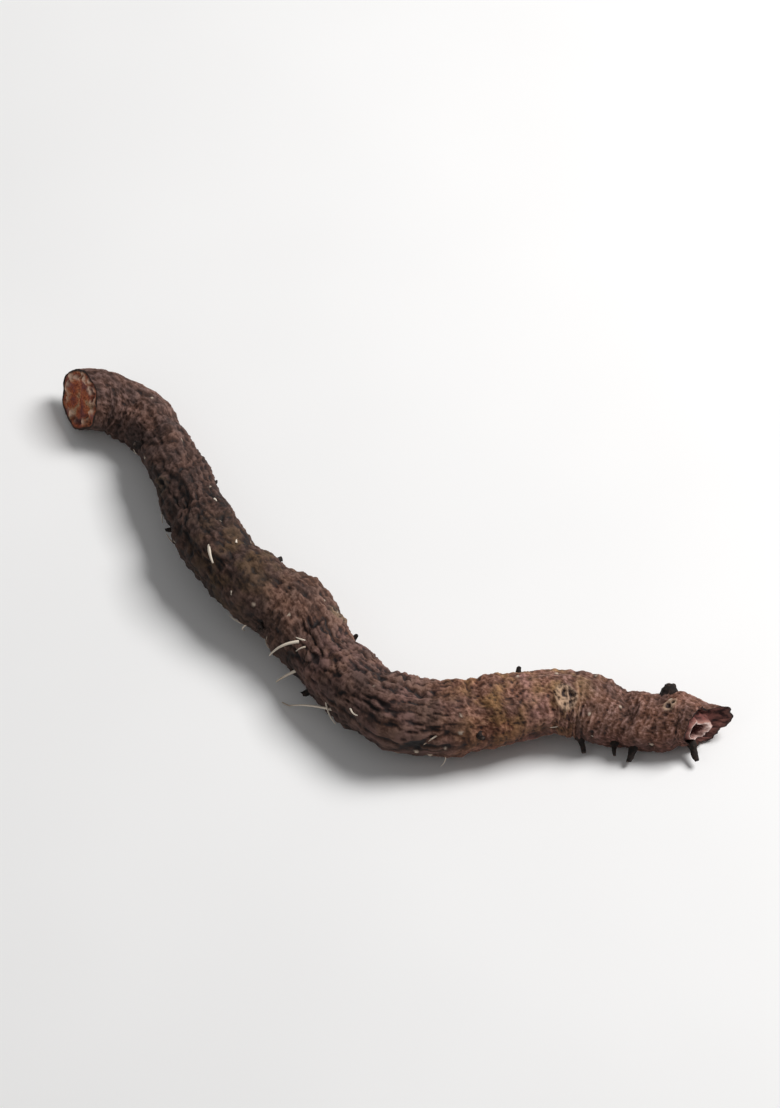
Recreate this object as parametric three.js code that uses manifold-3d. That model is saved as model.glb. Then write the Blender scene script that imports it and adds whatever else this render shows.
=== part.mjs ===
// Dried bistort rhizome, lying on a table: one grown piece, twice bent, ringed all along, with root scars
// and the stubs of broken rootlets. One end is cut clean across, the other broken off aslant and hollow.
// Millimetres, +Z up. The root lies along X, and the origin is on the table under the middle of its box.

import * as THREE from "three";
import { mergeVertices } from "three/addons/utils/BufferGeometryUtils.js";
import Module from "manifold-3d";

// Driving dimensions of the stem. The plan is its centreline seen from above, from the cut end to the tip.
const PLAN = [
  [-46.9, 31.3], [-40.7, 30.3], [-35.9, 26.2], [-32.9, 20.1], [-29.5, 10.8], [-25.8, 0.9], [-19.9, -6.3],
  [-13.6, -12.1], [-9.3, -19.1], [-4.7, -24.9], [1.4, -29.8], [9.1, -30.6], [19.0, -28.7], [23.8, -27.5],
  [27.6, -27.5], [31.2, -28.7], [34.8, -29.7], [38.8, -29.9], [42.2, -30.1], [45.3, -31.2],
];
// Distance along the centreline and radius there.
const GIRTH = [
  [0, 4.5], [10, 4.1], [19, 3.8], [28, 4.1], [33, 4.4], [38, 4.7], [48, 5.1], [58, 5.0], [65, 4.8], [72, 5.2],
  [80, 5.4], [88, 5.2], [94, 5.2], [99, 4.9], [105, 4.8], [111, 4.4], [116, 3.9], [120, 3.75], [122.5, 3.95],
  [124.5, 3.6], [127, 3.2],
];
// Distance along the centreline and the gap under the stem. It is below zero on the three spots it rests on.
const GAP = [
  [0, 0.6], [9, -0.2], [22, 1.2], [40, 1.5], [56, 0.6], [72, -0.2], [84, 0.4], [100, 0.9], [114, -0.3],
  [130, 0.8],
];
// Distance along the centreline and depth of the pinched rings between one year's growth and the next.
const GROWTH_STEPS = [
  [15, 0.35], [32.5, 0.4], [44, 0.2], [67, 0.4], [77, 0.25], [93, 0.35], [102, 0.2], [115, 0.4],
];
const GROWTH_STEP = { width: 1.4, wander: 0.9 };

// The surface: fine rings, a flattened section and the long groove on the side that faced down.
const SIDES = 26;
const ROW_STEP = 0.95;
const END_ROWS = 6;
const RING_HEIGHT = 0.17;
const FLATNESS = 0.045;
const GROOVE = { angle: -2.3, depth: 0.55, width: 0.42 };
// Waves on the skin: height, turn per millimetre along, waves round and phase, in radians. They make its
// lumps and long wrinkles, let the rings fade and return, and let them run ahead and behind round the stem.
const LUMPS = [
  [0.2, 0.23, 2, 1.1], [0.15, 0.41, -3, 0.4], [0.12, 0.83, 1, 2.6], [0.1, 0.15, 6, 0.9],
  [0.08, -0.22, 9, 2.2],
];
const RING_FADING = [[0.07, 0.37, 2, 0], [0.05, 0.19, -1, 0]];
const RING_WANDER = [[0.55, 0.21, 2, 0], [0.33, -0.13, 3, 0]];

// The cut end slants towards the angle it faces, with its rings of tissue in relief: share of radius, depth.
const CUT = { slant: 0.75, facing: 0.8, reach: 14 };
const CUT_FACE = [[0, 0.3], [0.34, 0.26], [0.58, 0.16], [0.7, -0.08], [0.82, 0.1], [0.95, 0.02]];

// The broken tip slants towards the angle it faces. The far side of its rim stands out in a lobe with small
// teeth, which are waves round it, and has a notch where the skin droops. On its face a trough runs round
// the raised lip of a small hollow that lies off the middle: share of radius, depth.
const TIP = { slant: 0.54, facing: 0.5, reach: 17, rim: 6 };
const TIP_DROOP = { angle: 2.4, depth: 1.2, width: 0.3, reach: 4 };
const TIP_NOTCH = { angle: 2.4, depth: 0.8, width: 0.3 };
const TIP_TEETH = [[1.1, 0, 2, 0.97], [0.15, 0, 7, 2.9]];
const TIP_HOLLOW = { offset: 2.5, facing: 0.3 };
const TIP_FACE = [
  [0.98, 0], [0.84, 0.6], [0.66, 0.7], [0.54, 0.3], [0.47, -0.25], [0.4, -0.3], [0.35, 0.5], [0.29, 2.2],
  [0, 2.8],
];

// Marks of the roots: distance along, angle round the stem in degrees. 0 is right of travel and 90 is up.
const RING_SCARS = [
  { along: 105.6, angle: 60, radius: 1.7, tube: 0.5 },
  { along: 62, angle: 146, radius: 1.3, tube: 0.45 },
  { along: 27, angle: 28, radius: 1.15, tube: 0.4 },
  { along: 122.2, angle: 88, radius: 0.75, tube: 0.3 },
];
const KNOBS = [
  { along: 57.5, angle: 150, height: 0.7, radius: 3.4 },
  { along: 38, angle: 132, height: 0.3, radius: 2.2 },
  { along: 84, angle: 30, height: 0.4, radius: 2.8 },
  { along: 126.5, angle: 174, height: 1.2, radius: 1.8 },
];
const STUBS = [
  { along: 108.0, angle: -26, radius: 0.5, length: 2.4, lean: 2.4 },
  { along: 114.0, angle: -22, radius: 0.4, length: 1.4, lean: 0.3 },
  { along: 116.2, angle: -24, radius: 0.6, length: 2.6, lean: 0 },
  { along: 124.9, angle: -36, radius: 0.5, length: 2.1, lean: 1.4 },
  { along: 121.0, angle: 140, radius: 1.2, length: 1.7, lean: 0 },
];
const LOOSE_STUBS = { count: 10, from: 14, to: 104, radius: [0.4, 0.7], length: [0.7, 1.4], lean: [-1, 1] };
const STUB_FLANKS = [[-30, 35], [158, 208]];
const STUB = { sides: 6, sink: 1.3, tipShare: 0.6, footShare: 1.25 };
const COLLAR = { sides: 6, turns: 14, sinkShare: 0.35 };
const PIMPLES = { count: 46, endClear: 5, height: [0.2, 0.42], radius: [0.8, 1.3] };
const SEED = 41;

const TABLE = { side: 300, depth: 40 };
const CURVE_STEPS = 600;
const WELD = 1e-4;
const BARK = new THREE.MeshStandardMaterial({ color: 0x58443a, roughness: 0.86, metalness: 0 });

const centreline = new THREE.SplineCurve(PLAN.map(([x, y]) => new THREE.Vector2(x, y)));
centreline.arcLengthDivisions = CURVE_STEPS;
const LENGTH = centreline.getLength();
const { smoothstep, degToRad, clamp } = THREE.MathUtils;

// Even random numbers from a linear congruential step, the same on every run.
function seededRandom(seed) {
  const [factor, increment, range] = [1664525, 1013904223, 2 ** 32];
  let state = seed;
  return (low = 0, high = 1) => {
    state = (state * factor + increment) % range;
    return low + ((high - low) * state) / range;
  };
}

// The value at a distance along the stem, eased between the stations of a list.
function valueAlong(stations, along) {
  const next = stations.findIndex(([at]) => at > along);
  if (next < 0) return stations.at(-1)[1];
  if (next === 0) return stations[0][1];
  const [[from, low], [to, high]] = [stations[next - 1], stations[next]];
  return low + (high - low) * smoothstep(along, from, to);
}

// The sum of a list of waves at a place on the skin.
function waveSum(waves, along, angle) {
  let sum = 0;
  for (const [height, turn, count, phase] of waves) {
    sum += height * Math.sin(turn * along + count * angle + phase);
  }
  return sum;
}

const bell = (x) => Math.exp(-x * x);
const wrapped = (angle) => Math.atan2(Math.sin(angle), Math.cos(angle));

// Swellings of the skin: the knobs, and small pimples scattered all over.
const random = seededRandom(SEED);
const swellings = KNOBS.map((knob) => ({ ...knob, angle: degToRad(knob.angle) }));
for (let count = 0; count < PIMPLES.count; count++) {
  swellings.push({
    along: random(PIMPLES.endClear, LENGTH - PIMPLES.endClear),
    angle: random(-Math.PI, Math.PI),
    height: random(...PIMPLES.height),
    radius: random(...PIMPLES.radius),
  });
}

// The stem's radius at a place on it, with all its relief but the fine rings.
function stemRadius(along, angle) {
  const girth = valueAlong(GIRTH, along);
  let radius = girth * (1 + FLATNESS * Math.cos(2 * angle)) + waveSum(LUMPS, along, angle);
  radius -= GROOVE.depth * bell(wrapped(angle - GROOVE.angle) / GROOVE.width);
  const droop = TIP_DROOP.depth * smoothstep(along, LENGTH - TIP_DROOP.reach, LENGTH);
  radius -= droop * bell(wrapped(angle - TIP_DROOP.angle) / TIP_DROOP.width);
  for (const [at, depth] of GROWTH_STEPS) {
    const wander = GROWTH_STEP.wander * Math.sin(angle + at);
    radius -= depth * bell((along - at - wander) / GROWTH_STEP.width);
  }
  for (const mark of swellings) {
    const round = wrapped(angle - mark.angle) * girth;
    radius += mark.height * bell(Math.hypot(round, along - mark.along) / mark.radius);
  }
  return radius;
}

// A point at a distance from the centreline, in the stem's own frame: right of travel and up.
function stemPoint(along, angle, radius) {
  const share = clamp(along / LENGTH, 0, 1);
  const past = along - share * LENGTH;
  const centre = centreline.getPointAt(share);
  const travel = centreline.getTangentAt(share);
  const height = valueAlong(GIRTH, along) * (1 - FLATNESS) + valueAlong(GAP, along);
  const sideways = radius * Math.cos(angle);
  return new THREE.Vector3(
    centre.x + travel.x * past + travel.y * sideways,
    centre.y + travel.y * past - travel.x * sideways,
    height + radius * Math.sin(angle),
  );
}

// Rows of the stem's skin, from the middle of the cut face to the bottom of the tip's hollow.
function skinRows() {
  const rows = CUT_FACE.map(([share, sunk]) => ({ share, along: sunk, ridge: 0, wander: 0, aside: 0 }));
  const last = Math.round(LENGTH / ROW_STEP) - 2;
  for (let row = 0; row <= last; row++) {
    const fade = smoothstep(row, 0, END_ROWS) * (1 - smoothstep(row, last - END_ROWS, last));
    const ridge = fade * (row % 2 ? 0.5 : -0.5);
    rows.push({ share: 1, along: ROW_STEP * (row + 0.5), ridge, wander: fade, aside: 0 });
  }
  TIP_FACE.forEach(([share, sunk]) => {
    rows.push({ share, along: LENGTH - sunk, ridge: 0, wander: 0, aside: TIP_HOLLOW.offset * (1 - share) });
  });
  return rows;
}

// A point of the skin: the rings wander, both ends slant, the hollow lies aside and the rim is ragged.
function skinPoint(row, side) {
  const ring = row.ridge * (RING_HEIGHT + waveSum(RING_FADING, row.along, side));
  const reach = row.share * (stemRadius(row.along, side) + ring);
  const across = reach * Math.cos(side) + row.aside * Math.cos(TIP_HOLLOW.facing);
  const up = reach * Math.sin(side) + row.aside * Math.sin(TIP_HOLLOW.facing);
  const [radius, angle] = [Math.hypot(across, up), Math.atan2(up, across)];
  const atCut = 1 - smoothstep(row.along, 0, CUT.reach);
  const atTip = smoothstep(row.along, LENGTH - TIP.reach, LENGTH - TIP.rim);
  const atRim = row.share * smoothstep(row.along, LENGTH - TIP.rim, LENGTH);
  const farSide = (1 - Math.cos(side - TIP.facing)) / 2;
  let along = row.along + row.wander * waveSum(RING_WANDER, row.along, side);
  along += atCut * CUT.slant * radius * Math.cos(angle - CUT.facing);
  along -= atTip * TIP.slant * radius * Math.cos(angle - TIP.facing);
  along += farSide * atRim * waveSum(TIP_TEETH, row.along, side);
  along -= atRim * TIP_NOTCH.depth * bell(wrapped(side - TIP_NOTCH.angle) / TIP_NOTCH.width);
  return stemPoint(along, angle, radius);
}

// A closed mesh as a solid, with shared vertices merged and collapsed triangles dropped.
function solidOf(geometry) {
  const bare = geometry.clone();
  bare.deleteAttribute("normal");
  bare.deleteAttribute("uv");
  const merged = mergeVertices(bare, WELD);
  const corners = merged.index.array;
  const triangles = [];
  for (let i = 0; i < corners.length; i += 3) {
    const [a, b, c] = corners.slice(i, i + 3);
    if (a !== b && b !== c && c !== a) triangles.push(a, b, c);
  }
  return new wasm.Manifold(new wasm.Mesh({
    numProp: 3,
    vertProperties: merged.attributes.position.array,
    triVerts: new Uint32Array(triangles),
  }));
}

// The stem: a lathe turned from its rows, then bent along the centreline with its relief.
function stemSolid() {
  const rows = skinRows();
  const lathe = new THREE.LatheGeometry(rows.map((row) => new THREE.Vector2(row.share, row.along)), SIDES);
  const position = lathe.getAttribute("position");
  for (let vertex = 0; vertex < position.count; vertex++) {
    const side = Math.floor(vertex / rows.length) % SIDES;
    const point = skinPoint(rows[vertex % rows.length], (-2 * Math.PI * side) / SIDES);
    position.setXYZ(vertex, point.x, point.y, point.z);
  }
  return solidOf(lathe);
}

// Turns and moves a piece made along +Y so that it stands out of the stem at a place.
function standOut(geometry, along, degrees, sink, lean = 0) {
  const angle = degToRad(degrees);
  const foot = stemPoint(along, angle, stemRadius(along, angle) - sink);
  const outer = stemPoint(along + lean, angle, stemRadius(along, angle) + 1);
  const outward = outer.sub(foot).normalize();
  const turn = new THREE.Quaternion().setFromUnitVectors(new THREE.Vector3(0, 1, 0), outward);
  return geometry.applyQuaternion(turn).translate(foot.x, foot.y, foot.z);
}

// A stub of a broken rootlet, a little thinner at its broken end.
function stubSolid({ along, angle, radius, length, lean }) {
  const height = length + STUB.sink;
  const [tipRadius, footRadius] = [radius * STUB.tipShare, radius * STUB.footShare];
  const stub = new THREE.CylinderGeometry(tipRadius, footRadius, height, STUB.sides);
  return solidOf(standOut(stub.translate(0, height / 2, 0), along, angle, STUB.sink, lean));
}

// The raised collar that a thick root left round its scar.
function collarSolid({ along, angle, radius, tube }) {
  const collar = new THREE.TorusGeometry(radius, tube, COLLAR.sides, COLLAR.turns).rotateX(Math.PI / 2);
  return solidOf(standOut(collar, along, angle, tube * COLLAR.sinkShare));
}

// Small stubs spread along the stem, on one flank and the other by turns.
function looseStubs() {
  const spacing = (LOOSE_STUBS.to - LOOSE_STUBS.from) / LOOSE_STUBS.count;
  return Array.from({ length: LOOSE_STUBS.count }, (_, index) => ({
    along: LOOSE_STUBS.from + spacing * (index + random()),
    angle: random(...STUB_FLANKS[index % STUB_FLANKS.length]),
    radius: random(...LOOSE_STUBS.radius),
    length: random(...LOOSE_STUBS.length),
    lean: random(...LOOSE_STUBS.lean),
  }));
}

const wasm = await Module();
wasm.setup();

let root = stemSolid();
for (const scar of RING_SCARS) root = root.add(collarSolid(scar));
for (const stub of [...STUBS, ...looseStubs()]) root = root.add(stubSolid(stub));

// The table takes a thin sliver off the three low spots, which leaves the flats that the root rests on.
const table = new THREE.BoxGeometry(TABLE.side, TABLE.side, TABLE.depth).translate(0, 0, -TABLE.depth / 2);
root = root.subtract(solidOf(table));

const { vertProperties, triVerts } = root.getMesh();
const skin = new THREE.BufferGeometry();
skin.setAttribute("position", new THREE.BufferAttribute(vertProperties, 3));
skin.setIndex(new THREE.BufferAttribute(triVerts, 1));
skin.computeBoundingBox();
const middle = skin.boundingBox.getCenter(new THREE.Vector3());
skin.translate(-middle.x, -middle.y, 0);
skin.computeVertexNormals();

const rhizome = new THREE.Mesh(skin, BARK);
rhizome.name = "bistort_root";

const part = new THREE.Group();
part.add(rhizome);

export default part;
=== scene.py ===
import math

import bmesh
import bpy
import numpy as np
from mathutils import Matrix, Vector, noise
from mathutils.geometry import interpolate_bezier


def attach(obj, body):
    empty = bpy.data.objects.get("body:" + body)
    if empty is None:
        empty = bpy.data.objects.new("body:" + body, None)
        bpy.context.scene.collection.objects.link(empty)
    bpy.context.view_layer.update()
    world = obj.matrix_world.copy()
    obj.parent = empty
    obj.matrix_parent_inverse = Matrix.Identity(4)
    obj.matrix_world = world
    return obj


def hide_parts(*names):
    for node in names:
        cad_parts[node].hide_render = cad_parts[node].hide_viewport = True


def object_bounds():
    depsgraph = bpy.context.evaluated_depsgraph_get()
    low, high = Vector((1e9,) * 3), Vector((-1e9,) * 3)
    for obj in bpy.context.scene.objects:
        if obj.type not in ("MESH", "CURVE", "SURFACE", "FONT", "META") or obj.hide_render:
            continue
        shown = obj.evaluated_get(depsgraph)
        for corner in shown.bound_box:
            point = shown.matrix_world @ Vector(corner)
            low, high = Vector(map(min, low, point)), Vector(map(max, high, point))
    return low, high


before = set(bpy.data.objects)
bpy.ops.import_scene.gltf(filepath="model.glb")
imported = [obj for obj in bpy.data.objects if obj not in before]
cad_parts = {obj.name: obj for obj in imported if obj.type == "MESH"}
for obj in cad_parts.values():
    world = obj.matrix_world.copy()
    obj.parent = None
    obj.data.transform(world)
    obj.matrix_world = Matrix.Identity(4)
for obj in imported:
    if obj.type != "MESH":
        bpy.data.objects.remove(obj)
cad_low, cad_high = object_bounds()

# The stem's form
# The stem is the dried underground shoot of bistort, grown as one piece and bent twice. It swelled
# a little each year and was pinched between the years, and it lies on three low spots.
# Sizes are in millimetres, angles are radians unless named degrees, and 0 is to the right of travel.
MM = 0.001
# The centreline on the table, from the cut end to the broken tip
PLAN = [
    (-46.9, 31.3), (-40.7, 30.3), (-35.9, 26.2), (-32.9, 20.1), (-29.5, 10.8), (-25.8, 0.9), (-19.9, -6.3),
    (-13.6, -12.1), (-9.3, -19.1), (-4.7, -24.9), (1.4, -29.8), (9.1, -30.6), (19.0, -28.7), (23.8, -27.5),
    (27.6, -27.5), (31.2, -28.7), (34.8, -29.7), (38.8, -29.9), (42.2, -30.1), (45.3, -31.2),
]
CURVE_STEPS = 60
# Distance along the stem, with its radius, and with the gap under it
GIRTH = [
    (0, 4.5), (10, 4.1), (19, 3.8), (28, 4.1), (33, 4.4), (38, 4.7), (48, 5.1), (58, 5.0), (65, 4.8),
    (72, 5.2), (80, 5.4), (88, 5.2), (94, 5.2), (99, 4.9), (105, 4.8), (111, 4.4), (116, 3.9), (120, 3.75),
    (122.5, 3.95), (124.5, 3.6), (127, 3.2),
]
GAP = [
    (0, 0.6), (9, -0.2), (22, 1.2), (40, 1.5), (56, 0.6), (72, -0.2), (84, 0.4), (100, 0.9), (114, -0.3),
    (130, 0.8),
]
# Distance along the stem and depth of each pinched step
GROWTH_STEPS = [
    (15, 0.35), (32.5, 0.4), (44, 0.2), (67, 0.4), (77, 0.25), (93, 0.35), (102, 0.2), (115, 0.4),
]
GROWTH_STEP_WIDTH = 1.4
GROWTH_STEP_WANDER = 0.9
FLATNESS = 0.045
GROOVE_ANGLE = -2.3
GROOVE_DEPTH = 0.55
GROOVE_WIDTH = 0.42
DROOP_ANGLE = 2.4
DROOP_DEPTH = 1.2
DROOP_WIDTH = 0.3
DROOP_REACH = 4
# Waves over the skin: height, turn for each millimetre, count round the stem and phase
LUMPS = [
    (0.2, 0.23, 2, 1.1), (0.15, 0.41, -3, 0.4), (0.12, 0.83, 1, 2.6), (0.1, 0.15, 6, 0.9),
    (0.08, -0.22, 9, 2.2),
]
# Swellings: distance along, degrees round, height and width
KNOBS = [
    (57.5, 150, 0.7, 3.4), (38, 132, 0.3, 2.2), (84, 30, 0.4, 2.8), (126.5, 174, 1.2, 1.8),
]
PIMPLES = 46
PIMPLE_SEED = 41
PIMPLE_END_CLEAR = 5
PIMPLE_HEIGHT = (0.2, 0.42)
PIMPLE_RADIUS = (0.8, 1.3)


def curve_through(points, steps):
    """Distance along a smooth curve through the points, and its places and headings there."""
    knots = [Vector((x, y, 0)) for x, y in points]
    path = [knots[0]]
    for i, (start, end) in enumerate(zip(knots, knots[1:])):
        before = knots[max(i - 1, 0)]
        after = knots[min(i + 2, len(knots) - 1)]
        leave = start + (end - before) / 6
        arrive = end - (after - start) / 6
        path += interpolate_bezier(start, leave, arrive, end, steps)[1:]
    path = np.array(path)
    along = np.concatenate(([0], np.cumsum(np.linalg.norm(np.diff(path, axis=0), axis=1))))
    heading = np.gradient(path, along, axis=0)
    return along, path, heading / np.linalg.norm(heading, axis=1)[:, None]


def smooth(x, low, high):
    """An eased step from 0 at low to 1 at high."""
    t = np.clip((x - low) / (high - low), 0, 1)
    return t * t * (3 - 2 * t)


def value_along(stations, along):
    """The value at a distance along the stem, eased between the stations of a list."""
    at, value = np.array(stations, float).T
    i = np.clip(np.searchsorted(at, along, side="right") - 1, 0, len(at) - 2)
    return value[i] + (value[i + 1] - value[i]) * smooth(along, at[i], at[i + 1])


def wave_sum(waves, along, angle):
    return sum(
        height * np.sin(turn * along + count * angle + phase) for height, turn, count, phase in waves
    )


def bell(x):
    return np.exp(-x * x)


def wrapped(angle):
    return np.arctan2(np.sin(angle), np.cos(angle))


def away(along, angle, girth, at, degrees):
    """Distance over the skin from a place on it."""
    return np.hypot(wrapped(angle - math.radians(degrees)) * girth, along - at)


def seeded_draws(seed):
    """Even random numbers from a linear congruential step, as the solid's own scatter draws them."""
    state = seed
    while True:
        state = (state * 1664525 + 1013904223) % 2**32
        yield state / 2**32


def draw(low, high):
    return low + (high - low) * next(draws)


PATH_ALONG, PATH, HEADING = curve_through(PLAN, CURVE_STEPS)
LENGTH = PATH_ALONG[-1]
draws = seeded_draws(PIMPLE_SEED)
swellings = list(KNOBS)
for _ in range(PIMPLES):
    swellings.append((
        draw(PIMPLE_END_CLEAR, LENGTH - PIMPLE_END_CLEAR),
        math.degrees(draw(-math.pi, math.pi)),
        draw(*PIMPLE_HEIGHT),
        draw(*PIMPLE_RADIUS),
    ))


def stem_radius(along, angle):
    """The stem's radius at a place on it, with its swellings and pinched steps, before the grain."""
    girth = value_along(GIRTH, along)
    radius = girth * (1 + FLATNESS * np.cos(2 * angle)) + wave_sum(LUMPS, along, angle)
    radius -= GROOVE_DEPTH * bell(wrapped(angle - GROOVE_ANGLE) / GROOVE_WIDTH)
    droop = DROOP_DEPTH * smooth(along, LENGTH - DROOP_REACH, LENGTH)
    radius -= droop * bell(wrapped(angle - DROOP_ANGLE) / DROOP_WIDTH)
    for at, depth in GROWTH_STEPS:
        off = along - at - GROWTH_STEP_WANDER * np.sin(angle + at)
        radius -= depth * bell(off / GROWTH_STEP_WIDTH)
    for at, degrees, height, width in swellings:
        radius += height * bell(away(along, angle, girth, at, degrees) / width)
    return radius


def stem_points(along, angle, radius):
    """Places at a radius from the centreline: right of travel at angle 0, up at a quarter turn."""
    held = np.clip(along, 0, LENGTH)
    centre = [np.interp(held, PATH_ALONG, PATH[:, i]) for i in (0, 1)]
    travel = [np.interp(held, PATH_ALONG, HEADING[:, i]) for i in (0, 1)]
    height = value_along(GIRTH, along) * (1 - FLATNESS) + value_along(GAP, along)
    sideways = radius * np.cos(angle)
    past = along - held
    return np.stack((
        centre[0] + travel[0] * past + travel[1] * sideways,
        centre[1] + travel[1] * past - travel[0] * sideways,
        height + radius * np.sin(angle),
    ), axis=-1)


# The skin
# The cork bark shrank as it dried, into a net of fine ridges round small pits, drawn out along the
# stem where it bends, with faint rings across. Thick roots left crusted scars on it. One end was
# sawn, the other snapped off hollow.
SIDES = 124
CUT_ROWS = 36
BARK_ROWS = 700
TIP_ROWS = 46
RING_PITCH = 1.9
RING_HEIGHT = 0.17
RING_FADING = [(0.07, 0.37, 2, 0), (0.05, 0.19, -1, 0)]
RING_WANDER = [(0.55, 0.21, 2, 0), (0.33, -0.13, 3, 0)]
RING_END_FADE = 5.5
RIB_PITCH = 0.95
RIB_HEIGHT = 0.06
RIB_START = (103, 107)
RIB_END = (116, 121)
DRIFT_SIZE = 1.6
DRIFT_SHIFTS = (3.1, 17.7, 29.3)
DRIFT_REACH = 0.4
DRAWN_OUT_TO = (80, 96)
DRAWN_OUT_WANDER = 4
ROUND_CELL = 0.95
LONG_CELL = (2.3, 0.85, 0.85)
COARSE_RIDGE = 0.45
COARSE_HEIGHT = 0.13
COARSE_HEIGHT_DRAWN = 0.04
FINE_CELL = (0.7, 0.5, 0.5)
FINE_RIDGE = 0.5
FINE_HEIGHT = 0.09
FINE_HEIGHT_DRAWN = -0.02
WRINKLE_SIZE = (6.0, 0.8, 0.8)
WRINKLE_HEIGHT = 0.02
WRINKLE_HEIGHT_DRAWN = 0.05
WRINKLE_HEIGHT_BEND = 0.05
BEND_START = (58, 70)
BEND_END = (86, 96)
LUMP_SIZE = 2.4
LUMP_HEIGHT = 0.12
GRIT_SIZE = 0.5
GRIT_HEIGHT = 0.06
# Stretches of the stem with clefts along it: start, end and strength
CLEFTS = [(20, 50, 0.7), (58, 92, 1.0)]
CLEFT_SIZE = (8.0, 1.5, 1.5)
CLEFT_WIDTH = 0.09
CLEFT_FADE = 6
CLEFT_DEPTH = 0.3
CUT_SLANT = 0.75
CUT_FACING = 0.8
CUT_REACH = 14
# Share of the radius and depth over the sawn face
CUT_FACE = [(0, 0.3), (0.34, 0.26), (0.58, 0.16), (0.7, -0.08), (0.82, 0.1), (0.95, 0.02), (1, 0)]
BUNDLES = 46
BUNDLE_RADIUS = (0.25, 0.5)
BUNDLE_GAPS = 26
BUNDLE_RING = 0.76
BUNDLE_SPREAD = 0.06
BUNDLE_PROUD = 0.18
BUNDLE_GAP_DEPTH = 0.4
SAWN_ROUGHNESS = 0.28
SAWN_GRAIN = 0.12
TIP_SLANT = 0.54
TIP_FACING = 0.5
TIP_REACH = 17
TIP_RIM = 6
TIP_NOTCH = 0.8
TIP_NOTCH_ANGLE = 2.4
TIP_NOTCH_WIDTH = 0.3
TIP_TEETH = [(1.1, 0, 2, 0.97), (0.15, 0, 7, 2.9), (0.12, 0, 17, 1.3), (0.08, 0, 29, 0.2)]
TIP_ROUGHNESS = 0.3
SPLINTER_LENGTH = 0.15
LOBE_DISH = 0.9
LOBE_DISH_INSIDE = (0.5, 0.66)
LOBE_DISH_OUTSIDE = (0.8, 0.95)
HOLLOW_OFFSET = 2.5
HOLLOW_FACING = 0.3
# Share of the radius and depth over the broken face, from its rim to the bottom of its hollow
TIP_FACE = [
    (1, 0), (0.95, 0.05), (0.84, 0.6), (0.66, 0.7), (0.54, 0.3), (0.47, -0.25), (0.4, -0.3), (0.35, 0.5),
    (0.29, 2.2), (0, 2.8),
]
TIP_SHARE_WEIGHT = 4
# Scars: distance along, degrees round, radius and thickness of the raised ring
RING_SCARS = [
    (105.6, 60, 1.7, 0.5), (62, 146, 1.3, 0.45), (27, 28, 1.15, 0.4), (122.2, 88, 0.75, 0.3),
]
SCAR_PIT = 0.45
SCAR_CELL = 1.25
SCAR_RIDGE = 0.42
MARK_SEED = 12
MARK_END_CLEAR = 4
ROOT_PITS = 60
ROOT_PIT_TIP_CLEAR = 5
ROOT_PIT_ROWS = (-20, 70, 190)
ROOT_PIT_SPREAD = 38
ROOT_PIT_RADIUS = (0.22, 0.5)
PIT_DEPTH = 0.6
CRUMBS = 45
CRUMB_HEIGHT = 0.6
CRUMB_RADIUS = (0.16, 0.28)
# Distance along, degrees round and radius
LARGE_CRUMBS = [
    (89.8, 26, 0.3), (102.5, -36, 0.32), (79, -32, 0.3), (82.5, -34, 0.26), (86, -30, 0.28),
]
# Distance along and width of the tinted stretches
YELLOW_ZONES = [(46, 7), (95, 6), (105, 4)]
PINK_ZONES = [(83, 5), (70, 5), (101, 3)]
# Distance along, with how much of the bark's red, green and blue is left: darker and greyer on the older
# bark, and painted shade over the upper stretch and the bend
BARK_TONE_AND_SHADE = [
    (0, (0.6, 0.6, 0.68)), (30, (0.29, 0.28, 0.31)), (48, (0.31, 0.3, 0.33)), (60, (0.54, 0.52, 0.54)),
    (74, (0.44, 0.43, 0.46)), (84, (0.5, 0.48, 0.5)), (94, (1.0, 0.89, 0.86)), (112, (1.01, 1.03, 1.18)),
    (127, (1.06, 1.06, 1.2)),
]
# Painted shade darkening the flank of the upper stretch that faces away from the light
FLANK_PAINTED_SHADE = 0.5
FLANK_ANGLE = 1.0
# Painted shade darkening the lower side of the right stretch, more in green and blue
UNDERSIDE_PAINTED_SHADE = (0.4, 0.5, 0.5)
UNDERSIDE_ANGLE = 0.9


def grain(place, size, shift=0.0):
    """Smooth noise, from about -1 to 1, over an array of places, with features of that size."""
    scaled = (place / np.array(size) + shift).reshape(-1, 3).tolist()
    return np.array([noise.noise(p) for p in scaled]).reshape(place.shape[:-1])


def net(place, size, width):
    """A net of ridges between scattered cells of that size: 1 on a ridge, 0 well inside a cell."""
    scaled = (place / np.array(size)).reshape(-1, 3).tolist()
    near = np.array([noise.voronoi(p)[0][:2] for p in scaled])
    return 1 - smooth((near[:, 1] - near[:, 0]).reshape(place.shape[:-1]), 0, width)


def eased_list(points, count):
    """Places evenly spaced along a profile of (share, depth) points."""
    profile = np.array(points, float)
    steps = np.concatenate(([0], np.cumsum(np.linalg.norm(np.diff(profile, axis=0), axis=1))))
    at = np.linspace(0, steps[-1], count)
    return np.interp(at, steps, profile[:, 0]), np.interp(at, steps, profile[:, 1])


def turned(profile, sides):
    """A closed shape turned from (radius, height) points, with its seam and poles merged."""
    shape = bmesh.new()
    points = [shape.verts.new((radius, 0, height)) for radius, height in profile]
    chain = [shape.edges.new(pair) for pair in zip(points, points[1:])]
    bmesh.ops.spin(
        shape, geom=points + chain, axis=(0, 0, 1), angle=2 * math.pi, steps=sides, use_merge=True,
    )
    bmesh.ops.remove_doubles(shape, verts=shape.verts, dist=1e-5)
    bmesh.ops.recalc_face_normals(shape, faces=shape.faces)
    for face in shape.faces:
        face.smooth = True
    return shape


def store(mesh, name, values):
    """Keeps a number or a vector for each point of a mesh, for the materials to read."""
    vector = values.ndim == 2
    attribute = mesh.attributes.new(name, "FLOAT_VECTOR" if vector else "FLOAT", "POINT")
    attribute.data.foreach_set("vector" if vector else "value", values.astype(np.float32).ravel())


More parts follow.
